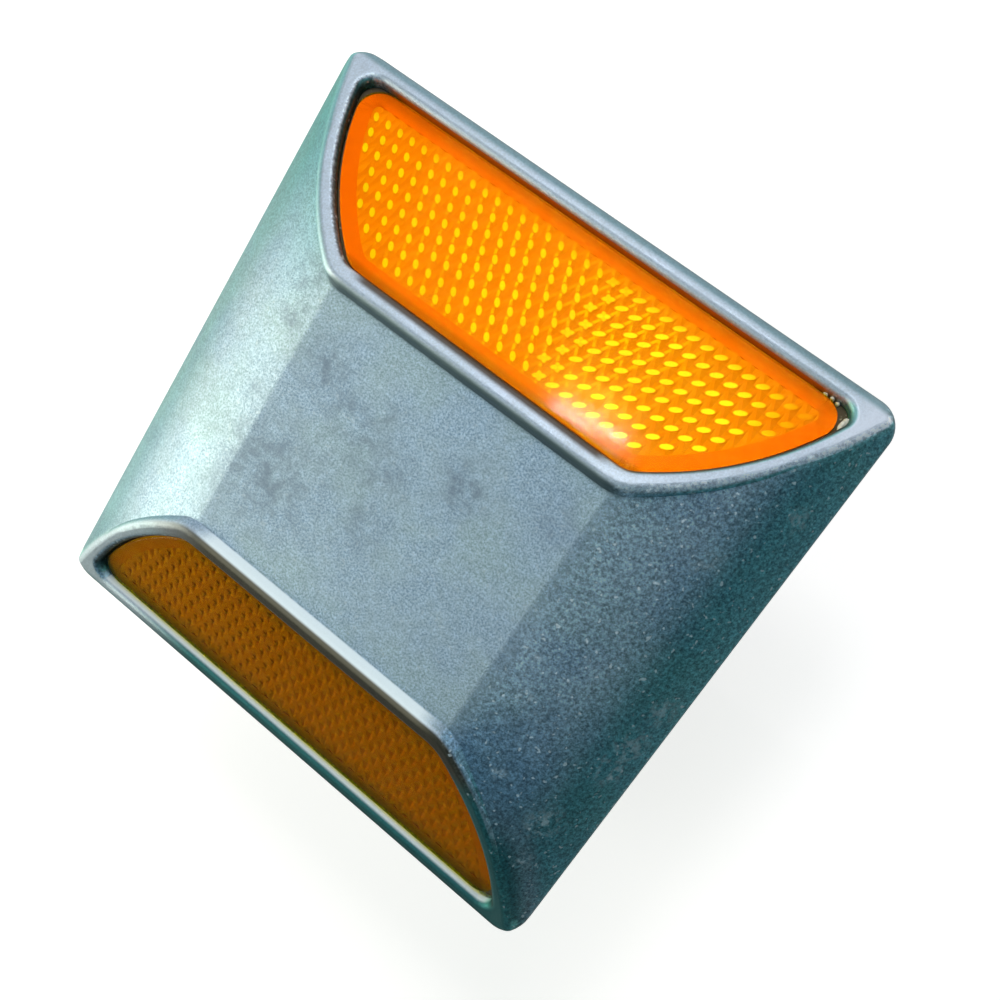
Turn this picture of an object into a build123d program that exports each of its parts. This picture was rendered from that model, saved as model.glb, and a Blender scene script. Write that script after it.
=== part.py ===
"""Two-way reflective road stud: a die-cast body, two amber reflectors bonded into it and a grouted shank.

Millimetres, +Z up. The origin is the middle of the base, on the road surface. The lenses run along X,
the front one faces -Y and the rear one +Y, and the shank goes down into the road.
"""

import os
from math import cos, radians, sin, tan

from build123d import *

os.makedirs("parts", exist_ok=True)

# Body, outside
base_length = 100.0
base_width = 100.0
corner_radius = 4.2
top_height = 18.0
top_length = 50.4
top_edge_radius = 3.0
side_lip = 2.0
side_bulge = 3.0
face_lip = 2.8
face_tilt = 32.0
edge_radius = 1.5

# Pocket for a reflector and the rim round it, measured in the sloping face
pocket_end_land = 5.0
pocket_end_radius = 50.0
pocket_tip_radius = 2.4
pocket_shoulder_radius = 5.0
rim_width = 2.6
rim_crest_width = 3.3
rim_proud = 2.15
rim_outer_radius = 1.2
rim_inner_radius = 1.1

# Reflector: lens, backing plate and adhesive, stacked inwards from the face
lens_recess = 1.2
lens_gap = 0.45
lens_tip_radius = 3.4
lens_thickness = 1.5
lens_edge_radius = 0.4
prism_border = 2.0
prism_depth = 1.0
lens_seat_gap = 0.05
backing_thickness = 0.6
bond_thickness = 0.2
bond_rise = 1.3
bond_clearance = 0.05

# Body, underside: open cells between ribs, round a solid boss
wall = 2.4
side_land = 5.0
face_land = 8.0
cell_rib = 3.6
cell_count = 9
boss_diameter = 30.0

# Shank, with bands that key it into the grout and a spigot that goes up into the boss
shank_diameter = 20.0
shank_core_diameter = 17.0
shank_length = 50.0
shank_band = 5.0
shank_bands = 5
shank_tip_chamfer = 1.0
spigot_diameter = 12.0
spigot_length = 10.0
spigot_clearance = 0.1
spigot_end_gap = 0.8

# Planes of the two sloping faces: X along the lens, Y up the slope, Z out of the body
tilt = radians(face_tilt)
front_face = Plane((0, -base_width / 2, face_lip), x_dir=(1, 0, 0), z_dir=(0, -sin(tilt), cos(tilt)))
rear_face = Plane((0, base_width / 2, face_lip), x_dir=(-1, 0, 0), z_dir=(0, sin(tilt), cos(tilt)))
faces_by_side = {"front": front_face, "rear": rear_face}

lens_back_level = -lens_recess - lens_thickness
backing_level = lens_back_level - lens_seat_gap
bond_level = backing_level - backing_thickness
pocket_depth = bond_thickness - bond_level


def outward(face):
    """Axis that points out of a sloping face."""
    return Axis(face.origin, face.z_dir)


# Outline of a pocket, of what lies in it at a gap, or of the rim round it: straight sill and top, arched ends
def reflector_outline(gap, tip_radius, raised=0):
    sill = rim_width
    top = (top_height + rim_proud - face_lip) / sin(tilt) - rim_crest_width + raised
    sill_end = base_length / 2 - pocket_end_land
    top_end = top_length / 2
    with BuildSketch() as outline:
        with BuildLine():
            Line((-sill_end, sill), (sill_end, sill))
            RadiusArc((sill_end, sill), (top_end, top), -pocket_end_radius)
            Line((top_end, top), (-top_end, top))
            RadiusArc((-top_end, top), (-sill_end, sill), -pocket_end_radius)
        make_face()
        offset(amount=-gap, kind=Kind.INTERSECTION)
        fillet(outline.vertices().group_by(Axis.Y)[0], tip_radius)
        fillet(outline.vertices().group_by(Axis.Y)[-1], pocket_shoulder_radius - gap)
    return outline.sketch


pocket_outline = reflector_outline(0, pocket_tip_radius)
lens_outline = reflector_outline(lens_gap, lens_tip_radius)
rim_outline = reflector_outline(-rim_width, pocket_tip_radius + rim_width, rim_crest_width - rim_width)


# Rim: a plate in the sloping face with a rounded edge, which the pocket then turns into a ring
def make_rim_plate(face):
    with BuildPart() as rim_plate:
        with BuildSketch(face):
            add(rim_outline)
        extrude(amount=-pocket_depth)
        fillet(rim_plate.faces().sort_by(outward(face))[-1].edges(), rim_outer_radius)
    return rim_plate.part


# Outline of the hollow under the body, seen along one axis: upright at the land, then sloping to a ceiling
def hollow_profile(land_edge, land_height, ceiling_edge, ceiling):
    half = [(land_edge, 0), (land_edge, land_height), (ceiling_edge, ceiling)]
    return half + [(-x, z) for x, z in reversed(half)]


# Cells in the underside, a wall's thickness below the slopes and the pocket floors
with BuildPart() as hollow:
    ceiling = top_height - wall
    with BuildSketch(Plane.XZ):
        side_edge = base_length / 2 - side_land
        side_slope = (top_height - side_lip) / (base_length / 2 - top_length / 2)
        side_setback = wall * (1 + side_slope**2) ** 0.5 / side_slope - side_lip / side_slope
        side_height = (side_land - side_setback) * side_slope
        side_ceiling = base_length / 2 - side_setback - ceiling / side_slope
        with BuildLine():
            Polyline(hollow_profile(side_edge, side_height, side_ceiling, ceiling), close=True)
        make_face()
    extrude(amount=base_width / 2, both=True)
    with BuildSketch(Plane.YZ):
        face_edge = base_width / 2 - face_land
        face_setback = (pocket_depth + wall) / sin(tilt) - face_lip / tan(tilt)
        face_height = (face_land - face_setback) * tan(tilt)
        face_ceiling = base_width / 2 - face_setback - ceiling / tan(tilt)
        with BuildLine():
            Polyline(hollow_profile(face_edge, face_height, face_ceiling, ceiling), close=True)
        make_face()
    extrude(amount=base_length / 2, both=True, mode=Mode.INTERSECT)
    with BuildSketch():
        pitch_x = (2 * side_edge + cell_rib) / cell_count
        pitch_y = (2 * face_edge + cell_rib) / cell_count
        with GridLocations(pitch_x, pitch_y, cell_count, cell_count):
            Rectangle(pitch_x - cell_rib, pitch_y - cell_rib)
        Circle(boss_diameter / 2, mode=Mode.SUBTRACT)
    extrude(amount=ceiling, mode=Mode.INTERSECT)

with BuildPart() as body_casting:
    # Two plain slopes that swell a little, and the flat top between them
    with BuildSketch(Plane.XZ):
        side_foot = base_length / 2
        side_crown = top_length / 2
        with BuildLine():
            Polyline((-side_foot, side_lip), (-side_foot, 0), (side_foot, 0), (side_foot, side_lip))
            SagittaArc((side_foot, side_lip), (side_crown, top_height), -side_bulge)
            Line((side_crown, top_height), (-side_crown, top_height))
            SagittaArc((-side_crown, top_height), (-side_foot, side_lip), -side_bulge)
        make_face()
    extrude(amount=base_width / 2, both=True)
    fillet(body_casting.edges().filter_by(Axis.Y).group_by(Axis.Z)[-1], top_edge_radius)

    # Two sloping faces for the lenses
    with BuildSketch(Plane.YZ):
        face_foot = base_width / 2
        face_crown = face_foot - (top_height - face_lip) / tan(tilt)
        with BuildLine():
            Polyline(
                (-face_foot, 0),
                (face_foot, 0),
                (face_foot, face_lip),
                (face_crown, top_height),
                (-face_crown, top_height),
                (-face_foot, face_lip),
                close=True,
            )
        make_face()
    extrude(amount=base_length / 2, both=True, mode=Mode.INTERSECT)

    # Rounded corners in plan, and soft edges along the lip and the four hips
    with BuildSketch():
        RectangleRounded(base_length, base_width, corner_radius)
    extrude(amount=top_height, mode=Mode.INTERSECT)
    upright_walls = body_casting.faces().filter_by(lambda face: round(face.normal_at().Z, 6) == 0)
    lip_edges = upright_walls.edges().filter_by(lambda edge: edge.vertices().sort_by(Axis.Z)[0].Z > 0)
    hip_edges = body_casting.edges().filter_by(GeomType.ELLIPSE) - lip_edges
    fillet(lip_edges + hip_edges, edge_radius)

    # Rims and pockets
    for side_face in faces_by_side.values():
        add(make_rim_plate(side_face))
    split(bisect_by=Plane.XY, keep=Keep.TOP)
    for side_face in faces_by_side.values():
        with BuildSketch(side_face):
            add(pocket_outline)
        extrude(amount=-pocket_depth, mode=Mode.SUBTRACT)
        rim_crest = body_casting.faces().sort_by(outward(side_face))[-1]
        fillet(rim_crest.inner_wires()[0].edges(), rim_inner_radius)

    # Cells in the underside and the bore for the shank's spigot
    add(hollow.part, mode=Mode.SUBTRACT)
    with BuildSketch():
        Circle(spigot_diameter / 2 + spigot_clearance)
    extrude(amount=spigot_length + spigot_end_gap, mode=Mode.SUBTRACT)

body_casting.part.label = "body_casting"
export_step(body_casting.part, "parts/body_casting.step")


# Shank: a core with bands at one diameter, the first of them against the base
with BuildPart() as anchor_shank:
    with BuildSketch():
        Circle(shank_core_diameter / 2)
    extrude(amount=-shank_length)
    band_pitch = (shank_length - shank_band) / (shank_bands - 1)
    for band in range(shank_bands):
        with BuildSketch(Plane.XY.offset(-band * band_pitch)):
            Circle(shank_diameter / 2)
        extrude(amount=-shank_band)
    chamfer(anchor_shank.faces().sort_by(Axis.Z)[0].edges(), shank_tip_chamfer)
    with BuildSketch():
        Circle(spigot_diameter / 2)
    extrude(amount=spigot_length)

anchor_shank.part.label = "anchor_shank"
export_step(anchor_shank.part, "parts/anchor_shank.step")


# Lens: a clear coloured plate with a soft front edge, recessed behind as deep as its prisms
def make_lens(side, face):
    with BuildPart() as lens:
        with BuildSketch(face.offset(-lens_recess)):
            add(lens_outline)
        extrude(amount=-lens_thickness)
        fillet(lens.faces().sort_by(outward(face))[-1].edges(), lens_edge_radius)
        with BuildSketch(face.offset(lens_back_level)):
            add(lens_outline)
            offset(amount=-prism_border)
        extrude(amount=prism_depth, mode=Mode.SUBTRACT)
    lens.part.label = f"{side}_lens"
    export_step(lens.part, f"parts/{side}_lens.step")


# Backing plate: closes the prism space behind the lens
def make_backing(side, face):
    with BuildPart() as backing:
        with BuildSketch(face.offset(backing_level)):
            add(lens_outline)
        extrude(amount=-backing_thickness)
    backing.part.label = f"{side}_lens_backing"
    export_step(backing.part, f"parts/{side}_lens_backing.step")


# Adhesive: a thin bed on the pocket floor that rises round the edge of the reflector
def make_bond(side, face):
    with BuildPart() as bond:
        with BuildSketch(face.offset(-pocket_depth)):
            add(pocket_outline)
            offset(amount=-bond_clearance)
        extrude(amount=bond_rise)
        with BuildSketch(face.offset(bond_level)):
            add(lens_outline)
            offset(amount=bond_clearance)
        extrude(amount=bond_rise, mode=Mode.SUBTRACT)
    bond.part.label = f"{side}_adhesive_bed"
    export_step(bond.part, f"parts/{side}_adhesive_bed.step")


for side_name, side_face in faces_by_side.items():
    make_lens(side_name, side_face)
    make_backing(side_name, side_face)
    make_bond(side_name, side_face)
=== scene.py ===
# %% [markdown]
# A two-way road stud: a sand-textured aluminium casting with an amber reflector in each sloping face. The
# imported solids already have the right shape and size, so they are loaded first and stay where they are.
# This lesson dresses them: cast metal, amber lenses with a prism field behind each, and adhesive in the
# gaps.

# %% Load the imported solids
import math

import bmesh
import bpy
from mathutils import Matrix, Quaternion, Vector, noise


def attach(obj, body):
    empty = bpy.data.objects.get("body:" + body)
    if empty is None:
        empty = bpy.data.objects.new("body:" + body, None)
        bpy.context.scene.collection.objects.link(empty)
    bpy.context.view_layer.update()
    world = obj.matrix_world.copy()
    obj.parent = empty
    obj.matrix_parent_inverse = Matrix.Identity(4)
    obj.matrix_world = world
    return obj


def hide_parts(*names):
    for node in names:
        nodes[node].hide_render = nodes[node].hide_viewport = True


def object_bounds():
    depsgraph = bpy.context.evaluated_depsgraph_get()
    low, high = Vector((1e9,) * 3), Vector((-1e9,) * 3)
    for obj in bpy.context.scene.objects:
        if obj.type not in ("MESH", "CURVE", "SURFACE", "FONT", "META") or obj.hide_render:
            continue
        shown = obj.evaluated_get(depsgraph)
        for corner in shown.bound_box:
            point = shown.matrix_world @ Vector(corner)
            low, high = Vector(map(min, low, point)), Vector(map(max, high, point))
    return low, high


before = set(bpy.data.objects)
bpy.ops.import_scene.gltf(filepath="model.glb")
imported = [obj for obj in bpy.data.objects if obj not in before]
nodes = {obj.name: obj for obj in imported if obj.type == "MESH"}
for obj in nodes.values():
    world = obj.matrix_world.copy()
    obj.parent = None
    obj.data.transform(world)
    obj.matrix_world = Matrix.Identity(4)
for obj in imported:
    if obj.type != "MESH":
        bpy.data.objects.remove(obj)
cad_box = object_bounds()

MM = 0.001
scene = bpy.context.scene
print("pieces loaded:", sorted(nodes))

# %% [markdown]
# The camera stands where the photograph was taken from: above the stud, rolled so that it lies on its
# corner. A place, a point to look at and a roll say this more plainly than three turns about the axes.
# The shift only slides the picture in its frame, because the stud isn't in the middle of the photograph.

# %% Camera
CAMERA_PLACE = Vector((-56.69, -56.09, 177.61)) * MM
CAMERA_AIM = Vector((-14.73, 0.68, 0.0)) * MM
CAMERA_ROLL = math.radians(-107.57)

camera_data = bpy.data.cameras.new("camera")
camera_data.lens = 44.51
camera_data.shift_x = -0.0107
camera_data.shift_y = 0.0589
camera_data.clip_start = 0.01
camera = bpy.data.objects.new("camera", camera_data)
camera.location = CAMERA_PLACE
camera.rotation_mode = "QUATERNION"
level_view = (CAMERA_AIM - CAMERA_PLACE).to_track_quat("-Z", "Y")
camera.rotation_quaternion = level_view @ Quaternion((0, 0, 1), CAMERA_ROLL)
scene.collection.objects.link(camera)
scene.camera = camera
print("camera stands", round(CAMERA_PLACE.length / MM), "mm from the stud")

# %% [markdown]
# The stage is a white floor, level with the tip of the shank, that rises at its far edge like a studio
# cove. A plane and a curved wall would do, but they need a join. Spinning a short profile once round the
# Z axis makes floor and wall in one piece, with no seam on the horizon. The hole in the middle is then
# closed with one face.

# %% Floor
FLOOR_RADIUS = 5.0
FLOOR_STEPS = 96
COVE_RADIUS = 0.9
COVE_TURN = math.radians(70)
COVE_STEPS = 8
COVE_WIDTH = 1.1
COVE_HEIGHT = 1.4


def new_object(name, bm):
    """Turns a bmesh into an object with that name, at the origin."""
    mesh = bpy.data.meshes.new(name)
    bm.to_mesh(mesh)
    bm.free()
    piece = bpy.data.objects.new(name, mesh)
    scene.collection.objects.link(piece)
    return piece


floor_mesh = bmesh.new()
floor_level = cad_box[0].z
profile = [floor_mesh.verts.new((FLOOR_RADIUS, 0, floor_level))]
for step in range(1, COVE_STEPS + 1):
    turn = COVE_TURN * step / COVE_STEPS
    out = FLOOR_RADIUS + COVE_RADIUS * math.sin(turn)
    profile.append(floor_mesh.verts.new((out, 0, floor_level + COVE_RADIUS * (1 - math.cos(turn)))))
profile.append(floor_mesh.verts.new((FLOOR_RADIUS + COVE_WIDTH, 0, floor_level + COVE_HEIGHT)))
profile_edges = [floor_mesh.edges.new(pair) for pair in zip(profile, profile[1:])]
bmesh.ops.spin(
    floor_mesh,
    geom=profile + profile_edges,
    cent=(0, 0, 0),
    axis=(0, 0, 1),
    angle=2 * math.pi,
    steps=FLOOR_STEPS,
    use_merge=True,
)
bmesh.ops.remove_doubles(floor_mesh, verts=floor_mesh.verts, dist=0.1 * MM)
inner_edge = [e for e in floor_mesh.edges if e.is_boundary and e.verts[0].co.z < floor_level + MM]
bmesh.ops.contextual_create(floor_mesh, geom=inner_edge)
bmesh.ops.recalc_face_normals(floor_mesh, faces=floor_mesh.faces)
if sum(f.normal.z for f in floor_mesh.faces) < 0:
    bmesh.ops.reverse_faces(floor_mesh, faces=floor_mesh.faces)
floor = new_object("floor", floor_mesh)
print("floor has", len(floor.data.polygons), "faces")

# %% [markdown]
# Materials are node trees, and most nodes only do a sum or a mix. A few small helpers keep them short:
# each takes numbers or the outputs of other nodes, and gives an output back. A mask is a value from 0 to
# 1 over the surface. Masks that overlap show where all of them do, and masks that are joined show where
# any of them does.

# %% Helpers for materials
def new_material(name):
    """A node material, with its tree and its Principled shader."""
    material = bpy.data.materials.new(name)
    material.use_nodes = True
    return material, material.node_tree, material.node_tree.nodes["Principled BSDF"]


def feed(tree, socket, value):
    """Links an output to a socket, or writes a plain value on it."""
    if isinstance(value, bpy.types.NodeSocket):
        tree.links.new(value, socket)
    else:
        socket.default_value = value


def do_math(tree, operation, first, second=0.5):
    """One sum on two values. A sum such as ABSOLUTE reads only the first."""
    node = tree.nodes.new("ShaderNodeMath")
    node.operation = operation
    feed(tree, node.inputs[0], first)
    feed(tree, node.inputs[1], second)
    return node.outputs[0]


def overlap(tree, *masks):
    """Masks multiplied together, or a mask and its strength: shows only where all of them show."""
    shown = masks[0]
    for mask in masks[1:]:
        shown = do_math(tree, "MULTIPLY", shown, mask)
    return shown


def joined(tree, *masks):
    """The strongest of several masks: shows wherever one of them shows."""
    shown = masks[0]
    for mask in masks[1:]:
        shown = do_math(tree, "MAXIMUM", shown, mask)
    return shown


def ramp(tree, value, low, high, start=0.0, end=1.0):
    """A soft step: start below low, end above high, and a smooth slope between."""
    node = tree.nodes.new("ShaderNodeMapRange")
    node.interpolation_type = "SMOOTHSTEP"
    feed(tree, node.inputs["Value"], value)
    node.inputs["From Min"].default_value = low
    node.inputs["From Max"].default_value = high
    node.inputs["To Min"].default_value = start
    node.inputs["To Max"].default_value = end
    return node.outputs["Result"]


def ramp_mm(tree, distance, low, high, start=0.0, end=1.0):
    """A soft step along a distance, with both ends of the slope in millimetres."""
    return ramp(tree, distance, low * MM, high * MM, start, end)


def object_place(tree):
    """Object coordinates, in metres, as one vector and as x, y and z."""
    place = tree.nodes.new("ShaderNodeTexCoord").outputs["Object"]
    parts = tree.nodes.new("ShaderNodeSeparateXYZ")
    tree.links.new(place, parts.inputs[0])
    return place, parts.outputs[0], parts.outputs[1], parts.outputs[2]


print("material helpers are ready")

# %% [markdown]
# The camera sees the floor a little brighter than its light makes it, so that it stays white all round. A
# stud on a road mirrors dark ground nearby and a bright horizon, and so reflections see less of that
# lift: most of it on the +X side, where the light comes from, and far off in front.

# %% Floor finish
FLOOR_LIFT = 0.66
FAR_FRONT_LIFT = 1.3

floor_material, tree, shader = new_material("floor_white")
shader.inputs["Base Color"].default_value = (0.64, 0.6, 0.59, 1)
shader.inputs["Roughness"].default_value = 0.9
floor.data.materials.append(floor_material)
rays = tree.nodes.new("ShaderNodeLightPath").outputs
direct = overlap(tree, joined(tree, rays["Is Camera Ray"], rays["Is Transmission Ray"]), FLOOR_LIFT)
x, y = object_place(tree)[1:3]
lit_side = do_math(tree, "SUBTRACT", x, do_math(tree, "MULTIPLY", y, 0.5))
lit_floor = ramp(tree, lit_side, 0.1, 0.6, 0.0, FLOOR_LIFT)
far_front = ramp(tree, y, -3.0, -1.2, FAR_FRONT_LIFT, 0.0)
reflected = overlap(tree, rays["Is Glossy Ray"], joined(tree, lit_floor, far_front))
glow = tree.nodes.new("ShaderNodeEmission")
feed(tree, glow.inputs["Strength"], do_math(tree, "ADD", direct, reflected))
lift = tree.nodes.new("ShaderNodeAddShader")
tree.links.new(shader.outputs[0], lift.inputs[0])
tree.links.new(glow.outputs[0], lift.inputs[1])
tree.links.new(lift.outputs[0], tree.nodes["Material Output"].inputs["Surface"])
floor_material.cycles.emission_sampling = "NONE"
print("floor finish has", len(tree.nodes), "nodes")

# %% [markdown]
# Soft boxes light the stud. The side box stands low on the +X side, so one plain slope is bright and the
# other dark. The front box shines on the front lens from -Y. A photographer would put a polariser on it
# to keep its mirror image out of the glass, and here the lamp is hidden from glossy rays for the same
# reason. The rim box stands higher on the same side, where the lens can't mirror it, and draws the rims'
# highlights. A small spark lamp gives the front lens its one pale highlight.

# %% Lamps and the room's own light
LAMPS = {
    # name: (place in metres, width and height in metres, watts, colour, seen in gloss)
    "side_box": ((0.43, 0.25, 0.22), (0.42, 0.40), 1.95, (1.0, 0.97, 0.75), True),
    "front_box": ((0.15, -0.60, 0.48), (0.40, 0.40), 3.15, (1.0, 0.99, 0.96), False),
    "rim_box": ((0.12, -0.43, 0.47), (0.12, 0.12), 0.75, (0.97, 0.98, 1.0), True),
    "top_box": ((0.16, 0.12, 0.62), (0.30, 0.30), 0.40, (0.90, 0.98, 1.0), True),
    "spark": ((0.124, -0.496, 0.362), (0.050, 0.007), 0.15, (1.0, 0.97, 0.94), True),
}

for name, (place, size, watts, colour, in_gloss) in LAMPS.items():
    lamp = bpy.data.lights.new(name, "AREA")
    lamp.shape = "RECTANGLE"
    lamp.size, lamp.size_y = size
    lamp.energy = watts
    lamp.color = colour
    box = bpy.data.objects.new(name, lamp)
    box.location = place
    box.rotation_mode = "QUATERNION"
    box.rotation_quaternion = (-Vector(place)).to_track_quat("-Z", "Y")
    box.visible_glossy = in_gloss
    scene.collection.objects.link(box)

world = bpy.data.worlds.new("room")
world.use_nodes = True
world.node_tree.nodes["Background"].inputs["Color"].default_value = (0.45, 0.85, 1.0, 1)
world.node_tree.nodes["Background"].inputs["Strength"].default_value = 0.16
scene.world = world
scene.view_settings.view_transform = "Standard"
print("lamps:", ", ".join(LAMPS))

# %% [markdown]
# Cast metal is grainy, because it copies the surface of its mould, and blotchy, because it cooled unevenly.
# Both the casting and the turned shank need that, at different sizes, so it is built once as a node group.
# The group gives three values over the surface: a fine grain, slow blotches, and rare bright specks.

# %% Metal skin, a node group
def blotches(tree, place, size, detail=2.0, roughness=0.5):
    """Noise whose features are about that size in metres."""
    node = tree.nodes.new("ShaderNodeTexNoise")
    tree.links.new(place, node.inputs["Vector"])
    feed(tree, node.inputs["Scale"], do_math(tree, "DIVIDE", 1.0, size))
    node.inputs["Detail"].default_value = detail
    node.inputs["Roughness"].default_value = roughness
    return node.outputs["Fac"]


skin = bpy.data.node_groups.new("metal_skin", "ShaderNodeTree")
for name, size in (("Grain Size", 0.3 * MM), ("Blotch Size", 5 * MM)):
    socket = skin.interface.new_socket(name, in_out="INPUT", socket_type="NodeSocketFloat")
    socket.default_value = size
for name in ("Grain", "Blotch", "Specks"):
    skin.interface.new_socket(name, in_out="OUTPUT", socket_type="NodeSocketFloat")
sizes = skin.nodes.new("NodeGroupInput").outputs
result = skin.nodes.new("NodeGroupOutput").inputs
place = object_place(skin)[0]
feed(skin, result["Grain"], blotches(skin, place, sizes["Grain Size"], 3.0, 0.75))
feed(skin, result["Blotch"], blotches(skin, place, sizes["Blotch Size"], 4.0, 0.6))
fleck = blotches(skin, place, do_math(skin, "MULTIPLY", sizes["Grain Size"], 2.6), 1.0)
feed(skin, result["Specks"], ramp(skin, fleck, 0.67, 0.73))
print("metal skin has", len(skin.nodes), "nodes")


def add_skin(tree, grain_size, blotch_size):
    """Places the metal skin in a material with its own sizes, and gives its outputs."""
    group = tree.nodes.new("ShaderNodeGroup")
    group.node_tree = skin
    group.inputs["Grain Size"].default_value = grain_size
    group.inputs["Blotch Size"].default_value = blotch_size
    return group.outputs


# %% [markdown]
# Marks on the casting follow its rims and sills, so the material has to know where those are. Two sums
# turn a place on the stud into height above the sloping face and distance up that slope, on both faces at
# once. A third tells whether a surface turns towards the middle of its own lens, as the inner side of a
# rim does. Painting the marks by hand would need a texture, and these sums stay sharp at any size.

# %% Where the rims are
FACE_FOOT = Vector((0, -50.0, 2.8)) * MM
FACE_TILT = math.radians(32)
UP_THE_FACE = Vector((0, math.cos(FACE_TILT), math.sin(FACE_TILT)))
LENS_MIDDLE = FACE_FOOT + UP_THE_FACE * 16 * MM


def vector_math(tree, operation, first, second=(0, 0, 0)):
    """One sum on two vectors. Its outputs are a Vector and a Value."""
    node = tree.nodes.new("ShaderNodeVectorMath")
    node.operation = operation
    feed(tree, node.inputs[0], first)
    feed(tree, node.inputs[1], second)
    return node.outputs


def face_distances(tree, y, z):
    """Height above the sloping face and distance up it from its foot, for the nearer of the two faces."""
    inwards = do_math(tree, "SUBTRACT", -FACE_FOOT.y, do_math(tree, "ABSOLUTE", y))
    above_foot = do_math(tree, "SUBTRACT", z, FACE_FOOT.z)
    off_face = do_math(tree, "MULTIPLY", above_foot, math.cos(FACE_TILT))
    height = do_math(tree, "SUBTRACT", off_face, do_math(tree, "MULTIPLY", inwards, math.sin(FACE_TILT)))
    along_face = do_math(tree, "MULTIPLY", inwards, math.cos(FACE_TILT))
    up_slope = do_math(tree, "ADD", along_face, do_math(tree, "MULTIPLY", above_foot, math.sin(FACE_TILT)))
    return height, up_slope


def turned_to_lens(tree, place, y, normal):
    """How far a surface turns towards the middle of its own lens: 1 faces it and 0 is square to it."""
    mirror = tree.nodes.new("ShaderNodeCombineXYZ")
    mirror.inputs[0].default_value = 1.0
    feed(tree, mirror.inputs[1], do_math(tree, "MULTIPLY", do_math(tree, "SIGN", y), -1.0))
    mirror.inputs[2].default_value = 1.0
    front_place = vector_math(tree, "MULTIPLY", place, mirror.outputs[0])["Vector"]
    front_normal = vector_math(tree, "MULTIPLY", normal, mirror.outputs[0])["Vector"]
    inwards = vector_math(tree, "SUBTRACT", LENS_MIDDLE, front_place)["Vector"]
    inwards = vector_math(tree, "NORMALIZE", inwards)["Vector"]
    return vector_math(tree, "DOT_PRODUCT", front_normal, inwards)["Value"]


print("the faces tilt", round(math.degrees(FACE_TILT)), "degrees")

# %% [markdown]
# The casting is matt grey aluminium, and tyres have left soft dark smudges on its top. The metal's tone
# is built up in layers, from slow blotches to fine grain. The smudges are round patches broken up by
# noise, so none of them has a clean edge.

# %% Cast metal
BLUE_GREY = (0.28, 0.40, 0.55, 1)
PALE_GREY = (0.41, 0.53, 0.63, 1)
GREEN_GREY = (0.37, 0.50, 0.49, 1)
GRAIN_SHADE = (0.68, 0.70, 0.72, 1)
GRAIN_LIGHT = (0.52, 0.65, 0.78, 1)
BRIGHT_SPECK = (0.85, 0.90, 0.92, 1)
SMUDGE_GREY = (0.18, 0.23, 0.30, 1)
SMUDGES_MM = {
    # (x, y, z): (radius, strength)
    (19.8, -10.5, 18.0): (8.0, 0.75),
    (14.0, -7.6, 18.0): (7.0, 0.60),
    (9.0, -5.1, 18.0): (8.0, 0.65),
    (3.5, -3.2, 18.0): (8.0, 0.60),
    (6.8, -10.6, 18.0): (3.5, 0.60),
    (-7.7, -9.1, 18.0): (7.0, 0.80),
    (2.1, 5.2, 18.0): (8.0, 0.50),
    (-21.7, -12.8, 18.0): (6.0, 0.50),
    (19.5, 8.0, 18.0): (16.0, 0.75),
    (12.0, 2.0, 18.0): (9.0, 0.40),
    (30.1, -20.0, 16.8): (5.0, 0.85),
    (28.8, -13.9, 17.2): (4.5, 0.80),
    (28.2, -1.5, 17.4): (3.0, 0.60),
    (26.9, 5.0, 17.7): (1.5, 0.70),
}


def mix_colours(tree, share, first, second, blend="MIX"):
    """The first colour, with the second mixed in by a share from 0 to 1."""
    node = tree.nodes.new("ShaderNodeMix")
    node.data_type = "RGBA"
    node.blend_type = blend
    feed(tree, node.inputs["Factor"], share)
    feed(tree, node.inputs[6], first)
    feed(tree, node.inputs[7], second)
    return node.outputs[2]


def stain(tree, share, tone, film):
    """A tone under a film of colour. The film multiplies it, so what lies under the film still shows."""
    return mix_colours(tree, share, tone, film, "MULTIPLY")


def spot(tree, place, centre, radius):
    """A round patch: 1 at its centre, 0 from its radius outwards."""
    away = vector_math(tree, "DISTANCE", place, centre)["Value"]
    return ramp(tree, away, 0.0, radius, 1.0, 0.0)


def patches(tree, place, marks):
    """Many round patches at once, from a table of places to radius and strength, in millimetres."""
    shown = 0.0
    for centre, (radius, strength) in marks.items():
        patch = spot(tree, place, Vector(centre) * MM, radius * MM)
        shown = joined(tree, shown, overlap(tree, patch, strength))
    return shown


cast_metal, tree, shader = new_material("cast_aluminium")
place, x, y, z = object_place(tree)
casting = add_skin(tree, 0.34 * MM, 7.5 * MM)
tone = mix_colours(tree, ramp(tree, casting["Blotch"], 0.35, 0.65), BLUE_GREY, PALE_GREY)
greener = ramp(tree, blotches(tree, place, 16 * MM, 3.0), 0.44, 0.62, 0.0, 0.7)
tone = mix_colours(tree, greener, tone, GREEN_GREY)
shade = stain(tree, 1.0, tone, GRAIN_SHADE)
tone = mix_colours(tree, ramp(tree, casting["Grain"], 0.30, 0.70), shade, GRAIN_LIGHT)
mottle = ramp(tree, blotches(tree, place, 1.4 * MM, 4.0, 0.7), 0.35, 0.65, 0.92, 1.06)
tone = stain(tree, 1.0, tone, mottle)
tone = mix_colours(tree, overlap(tree, casting["Specks"], 0.15), tone, BRIGHT_SPECK)

broken = ramp(tree, blotches(tree, place, 2.6 * MM, 4.0, 0.7), 0.34, 0.66)
smudge = overlap(tree, patches(tree, place, SMUDGES_MM), broken)
tone = mix_colours(tree, smudge, tone, SMUDGE_GREY)
print("smudges:", len(SMUDGES_MM))
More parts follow.
